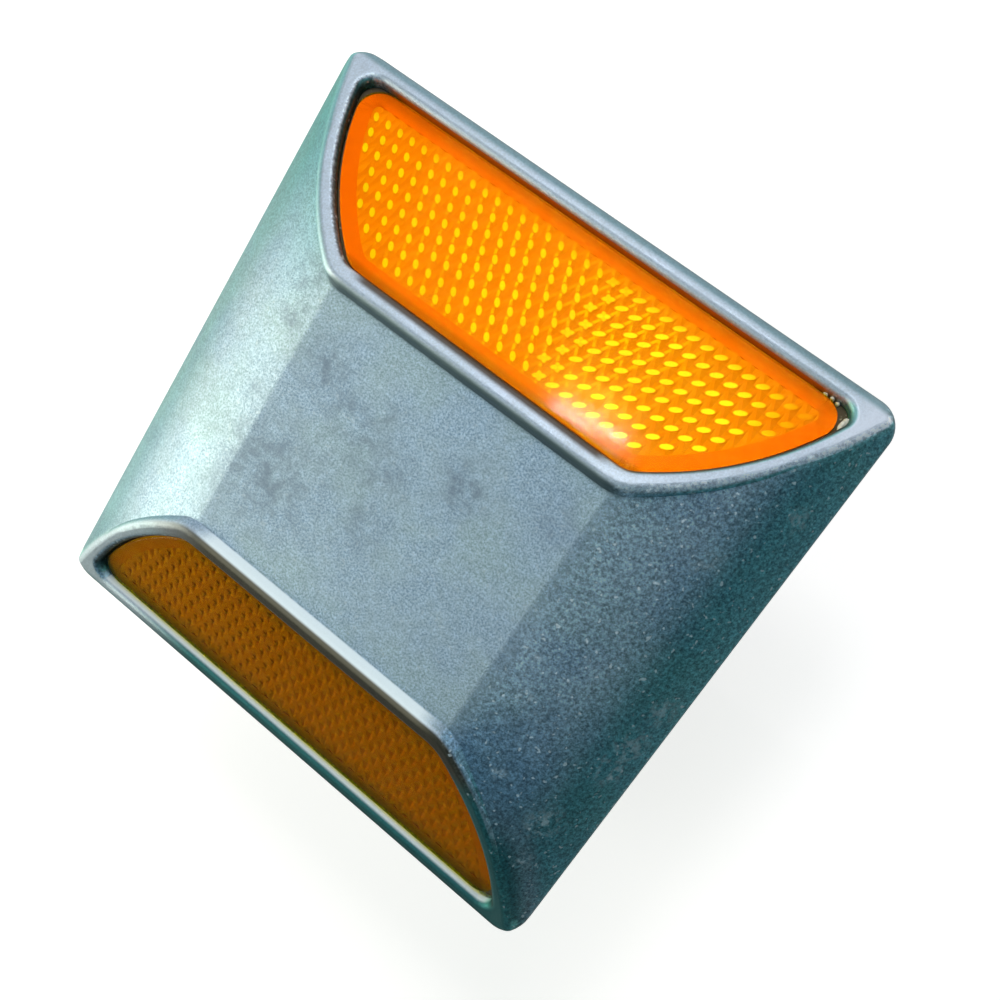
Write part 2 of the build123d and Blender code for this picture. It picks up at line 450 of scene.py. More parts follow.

# %% [markdown]
# Rims and sills are rubbed brighter, because they stand proud. On the rear rim, the back of the crest and
# the inner edge of the sill face the light, and they are painted nearly white as a painted highlight. A
# mask on height alone would also reach the plain slopes, so each white edge is the overlap of several
# limits.

# %% Rubbed edges and painted highlights
RUBBED_METAL = (0.78, 0.82, 0.92, 1)
PAINTED_HIGHLIGHT_WHITE = (0.86, 0.95, 0.98, 1)

height, up_slope = face_distances(tree, y, z)
off_middle = do_math(tree, "ABSOLUTE", x)
at_rear = ramp_mm(tree, y, -10, 10)
at_front = do_math(tree, "SUBTRACT", 1.0, at_rear)

rubbed = overlap(tree, ramp_mm(tree, height, -1.3, -0.35), ramp_mm(tree, x, -46.5, -42.0, 0.85, 0.5))
tone = mix_colours(tree, rubbed, tone, RUBBED_METAL)

rear_crest_highlight = overlap(
    tree,
    ramp_mm(tree, up_slope, 31.4, 32.2),
    ramp_mm(tree, height, -2.6, -2.2),
    ramp_mm(tree, off_middle, 20.0, 25.0, 1.0, 0.0),
)
rear_sill_highlight = overlap(
    tree,
    ramp_mm(tree, up_slope, 3.6, 4.4, 1.0, 0.0),
    at_rear,
    ramp_mm(tree, height, -1.9, -1.5),
    ramp_mm(tree, height, -0.9, -0.35, 1.0, 0.0),
)
rear_rim_highlight = overlap(tree, joined(tree, rear_crest_highlight, rear_sill_highlight), at_rear)
# painted highlight: the back of the rear crest and the inner wall of the rear sill, which face the light,
# are made nearly white
tone = mix_colours(tree, overlap(tree, rear_rim_highlight, 0.9), tone, PAINTED_HIGHLIGHT_WHITE)
print("casting has", len(tree.nodes), "nodes with its rubbed edges")

# %% [markdown]
# The inner side of each rim, where the lens meets it, is painted dark as shade and a dark reflection. So
# are the inside of the front crest and the foot behind it, which faces away from the light. The wall of the
# front sill is painted with the amber glow of the lens next to it.

# %% Painted shade and glow on the edges
INNER_RIM_SHADE = (0.05, 0.036, 0.022, 1)
CREST_INSIDE_SHADE = (0.09, 0.055, 0.03, 1)
CREST_FOOT_SHADE = (0.13, 0.18, 0.20, 1)
AMBER_GLOW = (0.70, 0.26, 0.02, 1)

normal = tree.nodes.new("ShaderNodeNewGeometry").outputs["Normal"]
towards_lens = ramp(tree, turned_to_lens(tree, place, y, normal), 0.2, 0.6, 0.0, 0.85)
inner_side_shade = overlap(tree, towards_lens, ramp_mm(tree, up_slope, 3.0, 6.0))
# painted shade: the inner side of each rim, turned to its lens, is made nearly black as shade and dark
# reflection
tone = mix_colours(tree, inner_side_shade, tone, INNER_RIM_SHADE)
crest_inside_shade = overlap(
    tree,
    ramp_mm(tree, up_slope, 30.4, 31.2, 0.9, 0.0),
    at_front,
    ramp_mm(tree, up_slope, 28.8, 29.2),
    ramp_mm(tree, height, -2.0, -1.6),
    ramp_mm(tree, off_middle, 20.5, 23.5, 1.0, 0.0),
)
# painted shade: the inside of the front crest
tone = mix_colours(tree, crest_inside_shade, tone, CREST_INSIDE_SHADE)
crest_foot_shade = overlap(
    tree,
    ramp_mm(tree, up_slope, 31.9, 32.6),
    ramp_mm(tree, height, -2.8, -2.2),
    at_front,
)
# painted shade: the foot behind the front crest, which faces away from the light
tone = mix_colours(tree, crest_foot_shade, tone, CREST_FOOT_SHADE)
sill_wall_glow = overlap(
    tree,
    ramp_mm(tree, height, -1.2, -0.8, 1.0, 0.0),
    at_front,
    ramp_mm(tree, up_slope, 3.0, 4.0, 1.0, 0.0),
    ramp_mm(tree, up_slope, 2.2, 2.5),
    ramp_mm(tree, off_middle, 38.0, 42.0, 1.0, 0.0),
)
# painted glow: the front sill wall takes the amber of the lit lens beside it
tone = mix_colours(tree, sill_wall_glow, tone, AMBER_GLOW)
print("casting has", len(tree.nodes), "nodes with its dirty edges")

# %% [markdown]
# The low lips have a thin blue-green stain. The slope that turns away from the light is painted darker as
# shade, deepest where it is steep and low and along its rear half. Painted shade in green and brown lies on
# the rear face and on the rim of the rear lens, which face away from the light. The front end of the lit
# slope gets a teal tint with painted shade. The slope that turns away from the light also shows a coarser
# grain. Every stain and painted shade is a multiply, so the grain shows through. The surface normal tells
# which way a side leans.

# %% Stains and painted shade
WHITE = (1, 1, 1, 1)
GREEN_SHADE_FILM = (0.07, 0.26, 0.24, 1)
BROWN_SHADE_FILM = (0.15, 0.12, 0.08, 1)
LOW_SLOPE_SHADE = (0.20, 0.50, 0.48, 1)
REAR_SLOPE_SHADE = (0.42, 0.58, 0.66, 1)
LIT_SLOPE_TINT_AND_SHADE = (0.42, 0.84, 0.76, 1)
BASE_EDGE_FILM = (0.62, 1.0, 0.88, 1)
LIP_FILM = (0.24, 0.44, 0.44, 1)

parts = tree.nodes.new("ShaderNodeSeparateXYZ")
tree.links.new(normal, parts.inputs[0])
lean_x, lean_y = parts.outputs[0], parts.outputs[1]
turned_away = ramp(tree, lean_x, -0.30, -0.12, 1.0, 0.0)
coarse = ramp(tree, blotches(tree, place, 0.6 * MM, 3.0, 0.7), 0.34, 0.66, 0.82, 1.85)
tone = stain(tree, 1.0, tone, mix_colours(tree, turned_away, WHITE, coarse))

below_crest = ramp_mm(tree, up_slope, 17.0, 29.5, 1.0, 0.0)
rear_face_shade = overlap(
    tree,
    ramp(tree, lean_y, -0.80, -0.25),
    at_rear,
    ramp_mm(tree, x, 20.0, 38.0, 1.0, 0.2),
    ramp_mm(tree, height, -7.0, -1.0),
    joined(tree, below_crest, ramp_mm(tree, height, -0.8, -0.3)),
)
rear_shade_film = mix_colours(tree, ramp_mm(tree, up_slope, 24.0, 29.0), GREEN_SHADE_FILM, BROWN_SHADE_FILM)
# painted shade: the rear face and rear rim, turned away from the light, darkened from green to brown
tone = stain(tree, rear_face_shade, tone, rear_shade_film)

off_rear_shade = ramp(tree, rear_face_shade, 0.0, 0.9, 1.0, 0.0)
low_slope_shade = overlap(tree, ramp(tree, lean_x, -0.72, -0.49, 1.0, 0.0), off_rear_shade)
# painted shade: the steep low part of the slope that turns away from the light
tone = stain(tree, low_slope_shade, tone, LOW_SLOPE_SHADE)
above_low_slope = ramp(tree, low_slope_shade, 0.0, 1.0, 1.0, 0.3)
rear_slope_shade = overlap(tree, turned_away, ramp_mm(tree, y, 4.0, 28.0), above_low_slope, off_rear_shade)
# painted shade: the rear half of the slope that turns away from the light
tone = stain(tree, rear_slope_shade, tone, REAR_SLOPE_SHADE)

front_end = ramp_mm(tree, y, -42.0, -10.0, 0.9, 0.08)
lit_slope_front_shade = overlap(tree, ramp(tree, lean_x, 0.10, 0.40), front_end)
# teal tint with painted shade, strongest at the front end of the lit slope
tone = stain(tree, lit_slope_front_shade, tone, LIT_SLOPE_TINT_AND_SHADE)
tone = stain(tree, ramp(tree, lean_x, 0.50, 0.75, 0.0, 0.7), tone, BASE_EDGE_FILM)
lips = joined(tree, ramp_mm(tree, up_slope, 0.5, 1.5, 0.75, 0.0), ramp_mm(tree, z, 1.0, 2.6, 0.6, 0.0))
tone = stain(tree, lips, tone, LIP_FILM)
print("casting has", len(tree.nodes), "nodes with its stains")

# %% [markdown]
# Dried splashes lie on top of the stain, pale on the slope that turns away. Painted shade from ambient
# occlusion then darkens the crevices last, except on the rear sill and the rear top. Splashes and the
# painted white highlights of the rear rim are chalky, so the metal shows less under them: they lower
# Metallic as well as the tone. The grain is also a bump, so that light catches it as it does on a real
# casting.

# %% Splashes, painted crevice shade and gloss
DRIED_SPLASH = (0.52, 0.62, 0.66, 1)
CREVICE_SHADE = (0.05, 0.075, 0.085, 1)
SPLASHES_MM = {
    # (x, y, z): (radius, strength)
    (-47.5, 3.2, 5.3): (4.5, 0.60),
    (-46.9, 10.5, 6.0): (5.0, 0.70),
    (-46.5, 15.0, 6.4): (4.5, 0.80),
    (-43.7, 27.5, 9.1): (5.0, 0.90),
    (-31.5, 10.3, 16.3): (2.2, 0.90),
    (-34.2, 11.9, 15.3): (1.8, 1.00),
    (-29.6, 4.3, 17.0): (1.5, 0.80),
    (-26.5, 12.8, 17.8): (1.3, 0.80),
    (-34.7, 22.7, 15.1): (2.0, 0.80),
    (-44.5, 34.6, 8.4): (2.5, 0.90),
    (-46.7, -30.8, 6.2): (3.0, 0.70),
    (-40.7, -19.4, 11.5): (3.5, 0.60),
    (-14.5, 7.9, 18.0): (2.2, 0.60),
}


def crevice(tree, reach, low, high):
    """1 in the open, 0 deep in a crevice, from the share of open sky within reach."""
    node = tree.nodes.new("ShaderNodeAmbientOcclusion")
    node.samples = 8
    node.only_local = True
    node.inputs["Distance"].default_value = reach
    return ramp(tree, node.outputs["AO"], low, high)


def add_bump(tree, height, strength, distance):
    """A bump from a height, ready for a shader's Normal."""
    node = tree.nodes.new("ShaderNodeBump")
    node.inputs["Strength"].default_value = strength
    node.inputs["Distance"].default_value = distance
    feed(tree, node.inputs["Height"], height)
    return node.outputs["Normal"]


spatter = ramp(tree, blotches(tree, place, 1.3 * MM, 3.0, 0.6), 0.44, 0.60)
splash = overlap(tree, patches(tree, place, SPLASHES_MM), spatter)
splash = joined(tree, splash, overlap(tree, casting["Specks"], turned_away))
tone = mix_colours(tree, overlap(tree, splash, 0.6), tone, DRIED_SPLASH)
rear_top = overlap(tree, ramp_mm(tree, up_slope, 31.0, 32.0), at_rear)
open_sky = joined(tree, crevice(tree, 1.6 * MM, 0.40, 0.85), rear_sill_highlight, rear_top)
# painted shade in the crevices, from ambient occlusion
tone = mix_colours(tree, open_sky, CREVICE_SHADE, tone)
chalky = joined(tree, overlap(tree, rear_rim_highlight, 0.95), overlap(tree, splash, 0.7))

feed(tree, shader.inputs["Base Color"], tone)
feed(tree, shader.inputs["Metallic"], ramp(tree, chalky, 0.0, 1.0, 0.85, 0.0))
feed(tree, shader.inputs["Roughness"], ramp(tree, casting["Blotch"], 0.3, 0.7, 0.42, 0.52))
feed(tree, shader.inputs["Normal"], add_bump(tree, casting["Grain"], 0.55, 0.1 * MM))
print("splashes:", len(SPLASHES_MM), "and", len(tree.nodes), "nodes in the casting's finish")

# %% [markdown]
# The shank is turned on a lathe, so it has fine rings round its axis in place of the coarse casting grain.
# A band pattern along Z gives those rings, a little uneven where the tool chattered.

# %% Shank metal
RING_SCALE = 900.0
TURNED_DARK = (0.46, 0.50, 0.53, 1)
TURNED_PALE = (0.62, 0.65, 0.67, 1)
RING_BRIGHT = (0.72, 0.74, 0.76, 1)
GROOVE_SHADE = (0.14, 0.15, 0.15, 1)


def dress(node_name, material):
    """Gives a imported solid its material, and nothing else."""
    nodes[node_name].data.materials.clear()
    nodes[node_name].data.materials.append(material)


shank_metal, tree, shader = new_material("turned_aluminium")
place = object_place(tree)[0]
turned = add_skin(tree, 0.2 * MM, 6 * MM)
rings = tree.nodes.new("ShaderNodeTexWave")
rings.bands_direction = "Z"
rings.inputs["Scale"].default_value = RING_SCALE
rings.inputs["Distortion"].default_value = 1.2
rings.inputs["Detail Scale"].default_value = 0.4
tree.links.new(place, rings.inputs["Vector"])
tone = mix_colours(tree, turned["Blotch"], TURNED_DARK, TURNED_PALE)
tone = mix_colours(tree, overlap(tree, rings.outputs["Fac"], 0.25), tone, RING_BRIGHT)
# painted shade in the shank's grooves, from ambient occlusion
tone = mix_colours(tree, crevice(tree, 1.5 * MM, 0.3, 0.95), GROOVE_SHADE, tone)
feed(tree, shader.inputs["Base Color"], tone)
shader.inputs["Metallic"].default_value = 0.95
feed(tree, shader.inputs["Roughness"], ramp(tree, turned["Blotch"], 0.3, 0.7, 0.28, 0.42))
ring_height = do_math(tree, "ADD", do_math(tree, "MULTIPLY", turned["Grain"], 0.3), rings.outputs["Fac"])
feed(tree, shader.inputs["Normal"], add_bump(tree, ring_height, 0.35, 0.05 * MM))

dress("body_casting", cast_metal)
dress("anchor_shank", shank_metal)
print("metals:", cast_metal.name, shank_metal.name)

# %% [markdown]
# Each lens is clear amber acrylic. Its colour comes from light that goes in, meets the prisms and comes out
# again. Real glass blocks Cycles' shadow rays, which would leave the prisms behind it black. So shadow
# rays, and rays that have bounced off a diffuse surface, pass through a tinted transparent shader, and
# every other ray meets the acrylic itself.

# %% Amber acrylic
DEEP_AMBER = (1.0, 0.82, 0.03, 1)
PALE_AMBER = (1.0, 0.90, 0.04, 1)
AMBER_SHADOW = (1.0, 0.92, 0.18, 1)

amber_glass, tree, shader = new_material("amber_glass")
place = object_place(tree)[0]
depth = blotches(tree, place, 12 * MM)
feed(tree, shader.inputs["Base Color"], mix_colours(tree, depth, DEEP_AMBER, PALE_AMBER))
shader.inputs["Roughness"].default_value = 0.03
shader.inputs["IOR"].default_value = 1.06
shader.inputs["Transmission Weight"].default_value = 1.0
handled = ramp(tree, blotches(tree, place, 2 * MM, 3.0), 0.35, 0.65, 0.05, 0.16)
feed(tree, shader.inputs["Coat Weight"], handled)
shader.inputs["Coat Roughness"].default_value = 0.08
clear = tree.nodes.new("ShaderNodeBsdfTransparent")
clear.inputs["Color"].default_value = AMBER_SHADOW
rays = tree.nodes.new("ShaderNodeLightPath").outputs
glass_or_clear = tree.nodes.new("ShaderNodeMixShader")
tree.links.new(joined(tree, rays["Is Shadow Ray"], rays["Is Diffuse Ray"]), glass_or_clear.inputs[0])
tree.links.new(shader.outputs[0], glass_or_clear.inputs[1])
tree.links.new(clear.outputs[0], glass_or_clear.inputs[2])
tree.links.new(glass_or_clear.outputs[0], tree.nodes["Material Output"].inputs["Surface"])
print("lens material:", amber_glass.name)

# %% [markdown]
# The real lens is one moulding: a smooth face with small prisms behind it. Light is traced far more
# easily through two pieces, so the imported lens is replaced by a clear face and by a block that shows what
# the prisms do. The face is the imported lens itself, merged and then cut off with a plane just in front of
# its recess. It is shaded flat, because smooth shading would bend the large flat sides at their edges and
# distort what lies behind.

# %% Clear face of each lens
FACE_BACK = -1.65 * MM
MERGE_GAP = 0.001 * MM

lens_plane = Matrix.Translation(FACE_FOOT) @ Matrix.Rotation(FACE_TILT, 4, "X")
half_turn = Matrix.Rotation(math.pi, 4, "Z")
outwards = lens_plane.to_3x3() @ Vector((0, 0, 1))
clear_face = bmesh.new()
clear_face.from_mesh(nodes["front_lens"].data)
bmesh.ops.remove_doubles(clear_face, verts=clear_face.verts, dist=MERGE_GAP)
geometry = clear_face.verts[:] + clear_face.edges[:] + clear_face.faces[:]
cut = lens_plane @ Vector((0, 0, FACE_BACK))
bmesh.ops.bisect_plane(clear_face, geom=geometry, plane_co=cut, plane_no=outwards, clear_inner=True)
cut_edges = [e for e in clear_face.edges if e.is_boundary]
bmesh.ops.holes_fill(clear_face, edges=cut_edges, sides=0)
bmesh.ops.recalc_face_normals(clear_face, faces=clear_face.faces)
for face in clear_face.faces:
    face.smooth = False

border = clear_face.copy()
rear_face = clear_face.copy()
bmesh.ops.transform(rear_face, matrix=half_turn, verts=rear_face.verts)
lens_faces = (
    ("front_lens_face", clear_face, "front_lens"),
    ("rear_lens_face", rear_face, "rear_lens"),
)
for name, bm, node in lens_faces:
    piece = new_object(name, bm)
    piece.data.materials.append(amber_glass)
    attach(piece, "root")
    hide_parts(node)
    print(name, "has", len(piece.data.polygons), "faces")

# %% [markdown]
# The block has a smooth border and, inside it, a field of prisms in staggered rows. In the photograph each
# prism shows as a cell with thin edges and a bright bead near its upper corner. A bead is a painted
# reflection of what one facet of the prism sends back, so it is drawn out to an arm that leans one way or
# the other. The border comes from the flat back of the clear face: inset leaves a ring, and extrude gives
# the ring its depth.

# %% Smooth border of the block
BORDER_WIDTH = 2.4 * MM
BLOCK_LEVEL = -1.90 * MM
BLOCK_DEPTH = 0.83 * MM
FLATNESS = 0.01 * MM
PIT, EDGE_UP, EDGE_DOWN, ARM_UP, ARM_DOWN, BORDER = range(6)


def deepen(bm, faces):
    """Extrudes flat faces down to the back of the block and closes the shape."""
    down = bmesh.ops.extrude_face_region(bm, geom=faces, use_keep_orig=True)["geom"]
    moved = [g for g in down if isinstance(g, bmesh.types.BMVert)]
    bmesh.ops.translate(bm, verts=moved, vec=(0, 0, -BLOCK_DEPTH))
    bmesh.ops.recalc_face_normals(bm, faces=bm.faces)


lay_flat = Matrix.Translation((0, 0, -FACE_BACK)) @ lens_plane.inverted()
bmesh.ops.transform(border, matrix=lay_flat, verts=border.verts)
shell = [f for f in border.faces if any(v.co.z > FLATNESS for v in f.verts)]
bmesh.ops.delete(border, geom=shell, context="FACES")
bmesh.ops.dissolve_faces(border, faces=border.faces)
middle_face = border.faces[:]
bmesh.ops.inset_region(
    border, faces=middle_face, thickness=BORDER_WIDTH, use_boundary=True, use_even_offset=True
)
outline = [v.co.to_2d() for v in middle_face[0].verts]
bmesh.ops.delete(border, geom=middle_face, context="FACES")
deepen(border, border.faces[:])
for face in border.faces:
    face.material_index = BORDER
middle = sum(outline, Vector((0, 0))) / len(outline)
border_mesh = bpy.data.meshes.new("border")
border.to_mesh(border_mesh)
border.free()
print("prism outline has", len(outline), "points")

# %% [markdown]
# A grid in the prisms' own two directions gives all cells at once: inset leaves the edges, and a sunk
# poke the pits. Cutting the grid along each side of the border's inner outline then fits it exactly,
# whatever the outline's shape.

# %% Prism field
PRISM_PITCH = 2.37 * MM
PRISM_ROW = 2.58 * MM
FIRST_CROSSING = Vector((-1.06, 13.04)) * MM
GRID_CELLS = 52
EDGE_WIDTH = 0.22 * MM
PIT_DEPTH = 0.18 * MM

lattice = Matrix((
    (PRISM_PITCH / 2, -PRISM_PITCH / 2, 0, FIRST_CROSSING.x),
    (PRISM_ROW, PRISM_ROW, 0, FIRST_CROSSING.y),
    (0, 0, 1, 0),
    (0, 0, 0, 1),
))


def outline_sides():
    """Each side of the outline as a point on it and its outward direction."""
    for start, end in zip(outline, outline[1:] + outline[:1]):
        along = end - start
        outward = Vector((along.y, -along.x)).normalized()
        if outward.dot(start - middle) < 0:
            outward = -outward
        yield start, outward


field = bmesh.new()
bmesh.ops.create_grid(field, x_segments=GRID_CELLS, y_segments=GRID_CELLS, size=GRID_CELLS / 2)
crossings = [(lattice @ v.co).to_2d() for v in field.verts]
bmesh.ops.transform(field, matrix=lattice, verts=field.verts)
cells = list(field.faces)
edges = bmesh.ops.inset_individual(field, faces=cells, thickness=EDGE_WIDTH, use_even_offset=True)["faces"]
for face in edges:
    longest = max(face.edges, key=lambda e: e.calc_length())
    run = longest.verts[1].co - longest.verts[0].co
    face.material_index = EDGE_UP if run.x * run.y > 0 else EDGE_DOWN
bmesh.ops.poke(field, faces=cells, offset=-PIT_DEPTH)
for start, outward in outline_sides():
    geometry = field.verts[:] + field.edges[:] + field.faces[:]
    bmesh.ops.bisect_plane(
        field, geom=geometry, plane_co=start.to_3d(), plane_no=outward.to_3d(), clear_outer=True
    )
rim = [e for e in field.edges if e.is_boundary]
skirt = bmesh.ops.extrude_edge_only(field, edges=rim)["geom"]
for vert in [g for g in skirt if isinstance(g, bmesh.types.BMVert)]:
    vert.co.z = -BLOCK_DEPTH
bmesh.ops.remove_doubles(field, verts=field.verts, dist=MERGE_GAP)
bmesh.ops.holes_fill(field, edges=[e for e in field.edges if e.is_boundary], sides=0)
bmesh.ops.recalc_face_normals(field, faces=field.faces)
print("prism field has", len(field.faces), "faces")

# %% [markdown]
# A bead is a flattened ball with few faces, because there are hundreds. One half of the lens shows the
# arms that lean up and the other half those that lean down, and in a narrow strip between them both show
# and cross. Each arm is made once and then read in again for each of its places, which is much quicker
# than asking for new balls every time.

# %% Beads, and the finished blocks
BEAD_DROP = 0.58 * MM
BEAD_MARGIN = 0.5 * MM
ARMS_MM = {
    # material: (half sizes, turn from the X axis in degrees, first and last place along the lens)
    ARM_UP: ((1.36, 0.60, 0.04), 33.0, (-50, -5)),
    ARM_DOWN: ((1.12, 0.56, 0.04), -53.0, (-9, 50)),
}


def inside(point, margin):
    """Whether a point of the plane lies in the outline, at least a margin from its edge."""
    return all(outward.dot(point - start) < -margin for start, outward in outline_sides())


beads = bmesh.new()
bead_mesh = bpy.data.meshes.new("beads")
bead_places = [c - Vector((0, BEAD_DROP)) for c in crossings]
bead_places = [c for c in bead_places if inside(c, BEAD_MARGIN)]
for material, (half_size, turn, (first, last)) in ARMS_MM.items():
    arm = bmesh.new()
    shape = Matrix.Rotation(math.radians(turn), 4, "Z") @ Matrix.Diagonal((Vector(half_size) * MM).to_4d())
    bmesh.ops.create_uvsphere(arm, u_segments=8, v_segments=5, radius=1.0, matrix=shape)
    for face in arm.faces:
        face.material_index = material
        face.smooth = True
    arm.to_mesh(bead_mesh)
    arm.free()
    for centre in bead_places:
        if first * MM < centre.x < last * MM:
            done = len(beads.verts)
            beads.from_mesh(bead_mesh)
            bmesh.ops.translate(beads, verts=beads.verts[done:], vec=centre.to_3d())
beads.to_mesh(bead_mesh)
beads.free()

field.from_mesh(bead_mesh)
field.from_mesh(border_mesh)
set_in = lens_plane @ Matrix.Translation((0, 0, BLOCK_LEVEL))
bmesh.ops.transform(field, matrix=set_in, verts=field.verts)
rear_field = field.copy()
bmesh.ops.transform(rear_field, matrix=half_turn, verts=rear_field.verts)
prism_blocks = [new_object("front_prism_block", field), new_object("rear_prism_block", rear_field)]
for piece in prism_blocks:
    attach(piece, "root")
print("beads:", len(bead_places), "faces:", len(prism_blocks[0].data.polygons))

# %% [markdown]
# Pits, edges and beads are the same amber in several depths, and how strongly each shows changes over the
# lens. Prisms send light back to where it came from, so the lens that faces the lamps is painted glowing
# and the other is painted deep in shade. One node group gives these strengths: beads fade towards one tip
# and the sill, edges show only in a patch, and the rear lens gets painted shade, most of all along its sill
# and its top. A bead also fades where its surface turns away, which gives it a soft edge.

# %% Prism strength, a node group
NET_MIDDLE = Vector((-13.0, -39.5, 9.0)) * MM
NET_RADIUS = 17 * MM
STREAK_MIDDLE = Vector((2.0, -39.0, 9.0)) * MM
STREAK_RADIUS = 34 * MM
GLOW_MIDDLE = Vector((-21.0, -35.6, 11.0)) * MM
GLOW_RADIUS = 25 * MM

tree = bpy.data.node_groups.new("prism_strength", "ShaderNodeTree")
place, x, y, z = object_place(tree)
up_slope = face_distances(tree, y, z)[1]
at_rear = ramp_mm(tree, y, -10, 10)

patchy = ramp(tree, blotches(tree, place, 9 * MM, 3.0), 0.3, 0.7, 0.8, 1.0)
off_tip = joined(tree, ramp_mm(tree, x, -41, -30, 0.12, 1.0), ramp_mm(tree, up_slope, 10.0, 15.0))
off_sill = ramp_mm(tree, up_slope, 4.5, 8.5, 0.15, 1.0)
# painted light and shade: beads and edges of the rear lens, which faces away from the lamps, show at less
# strength
lit_lens_share = ramp(tree, at_rear, 0.0, 1.0, 1.0, 0.3)
common = overlap(tree, patchy, off_tip, lit_lens_share, off_sill)
normal = tree.nodes.new("ShaderNodeNewGeometry").outputs["Normal"]
turned_up = vector_math(tree, "DOT_PRODUCT", normal, tuple(outwards))["Value"]
arms = overlap(tree, common, ramp(tree, turned_up, 0.78, 0.999))
net_patch = spot(tree, place, NET_MIDDLE, NET_RADIUS)
streak_patch = spot(tree, place, STREAK_MIDDLE, STREAK_RADIUS)
broken = ramp(tree, blotches(tree, place, 1.1 * MM), 0.40, 0.62, 0.15, 1.0)
streaks = overlap(tree, joined(tree, net_patch, streak_patch), broken)
sill_shade = ramp_mm(tree, up_slope, 3.0, 5.6, 1.0, 0.0)
crest_shade = ramp_mm(tree, up_slope, 27.1, 28.5)
low_edge = ramp_mm(tree, up_slope, 4.0, 9.0, 1.0, 0.0)
high_edge = ramp_mm(tree, up_slope, 24.0, 29.0)

strengths = {
    "Arms Up": overlap(tree, arms, ramp_mm(tree, x, -12, 6, 1.0, 0.0)),
    "Arms Down": overlap(tree, arms, ramp_mm(tree, x, -18, -2, 0.25, 1.0)),
    "Edges Up": overlap(tree, net_patch, common),
    "Edges Down": overlap(tree, streaks, common),
    "Glow": spot(tree, place, GLOW_MIDDLE, GLOW_RADIUS),
    # painted shade: near the rims on both lenses, and over the whole rear lens with more along its sill and
    # top
    "Rim Shade": joined(tree, sill_shade, crest_shade),
    "Rear": at_rear,
    "Rear Edge": overlap(tree, joined(tree, low_edge, high_edge), at_rear),
}
for name in strengths:
    tree.interface.new_socket(name, in_out="OUTPUT", socket_type="NodeSocketFloat")
result = tree.nodes.new("NodeGroupOutput").inputs
for name, strength in strengths.items():
    feed(tree, result[name], strength)
prism_strength = tree
print("prism strengths:", ", ".join(strengths))

# %% [markdown]
# Each kind of facet then gets a material of its own: a deep amber that turns to a lighter one by its
# strength. The shades of the rims and of the rear lens are painted shade, laid as films over it, as on the
# casting. The beads lie level with the lens, whatever their rounded shape, so they are given one constant
# normal and no dark outline. A little emission, strongest in the glow, is painted light that stands for the
# light the prisms send back.

# %% Prism materials
DEEP_PRISM = (0.93, 0.25, 0.02, 1)
# the light colours of edges, beads and pits in the glow patch are painted reflections and painted glow
LIT_EDGE = (1.0, 0.74, 0.06, 1)
PRISM_FINISHES = {
    # name: (deep colour, light colour, output of the strength group)
    "prism_pit": (DEEP_PRISM, (0.96, 0.34, 0.03, 1), "Glow"),
    "prism_edge_up": (DEEP_PRISM, LIT_EDGE, "Edges Up"),
    "prism_edge_down": (DEEP_PRISM, LIT_EDGE, "Edges Down"),
    "prism_arm_up": (DEEP_PRISM, (1.0, 0.92, 0.18, 1), "Arms Up"),
    "prism_arm_down": (DEEP_PRISM, (1.0, 0.84, 0.16, 1), "Arms Down"),
    "prism_border": ((0.93, 0.145, 0.01, 1), (0.95, 0.17, 0.01, 1), "Glow"),
}
CLOUD_FILM = (0.90, 0.88, 0.80, 1)
PRISM_SHADE_FILMS = {
    # output of the strength group: film
    "Rim Shade": (0.50, 0.42, 0.35, 1),
    "Rear": (0.30, 0.20, 0.05, 1),
    "Rear Edge": (0.30, 0.27, 0.20, 1),
}
BLACK = (0, 0, 0, 1)
BEAD_LIGHT = (1.0, 0.85, 0.9, 1)

for name, (deep, light, output_name) in PRISM_FINISHES.items():
    material, tree, shader = new_material(name)
    group = tree.nodes.new("ShaderNodeGroup")
    group.node_tree = prism_strength
    place, x, y, z = object_place(tree)
    tone = mix_colours(tree, group.outputs[output_name], deep, light)
    cloud = ramp(tree, blotches(tree, place, 4 * MM, 3.0), 0.3, 0.7, 0.0, 0.35)
    tone = stain(tree, cloud, tone, CLOUD_FILM)
    # painted shade laid as films over the prism colours
    for shade_name, film in PRISM_SHADE_FILMS.items():
        tone = stain(tree, group.outputs[shade_name], tone, film)
    feed(tree, shader.inputs["Base Color"], tone)
    shader.inputs["Roughness"].default_value = 0.45
    if output_name.startswith("Arms"):
        level = tree.nodes.new("ShaderNodeCombineXYZ")
        lens_side = do_math(tree, "SIGN", y)
        feed(tree, level.inputs[1], do_math(tree, "MULTIPLY", lens_side, math.sin(FACE_TILT)))
        level.inputs[2].default_value = math.cos(FACE_TILT)
        tree.links.new(level.outputs[0], shader.inputs["Normal"])
        # painted glow: emission on the beads stands for light sent back by the prisms, strongest in the
        # glow patch
        in_glow = ramp(tree, group.outputs["Glow"], 0.0, 0.8, 0.1, 1.0)
        shine = overlap(tree, group.outputs[output_name], in_glow)
        feed(tree, shader.inputs["Emission Color"], mix_colours(tree, shine, BLACK, BEAD_LIGHT))
        shader.inputs["Emission Strength"].default_value = 0.3
    for piece in prism_blocks:
        piece.data.materials.append(material)
print("prism materials:", ", ".join(PRISM_FINISHES))

# %% [markdown]
# The backing plate closes the reflector behind the prism block and shows only as an orange edge in the gap.
# The adhesive in the gap round it is painted nearly black as the shade of the deep gap, with a few pale
# crumbs. Along the front sill it is painted with the amber glow of the lens, as the wall of the sill is.

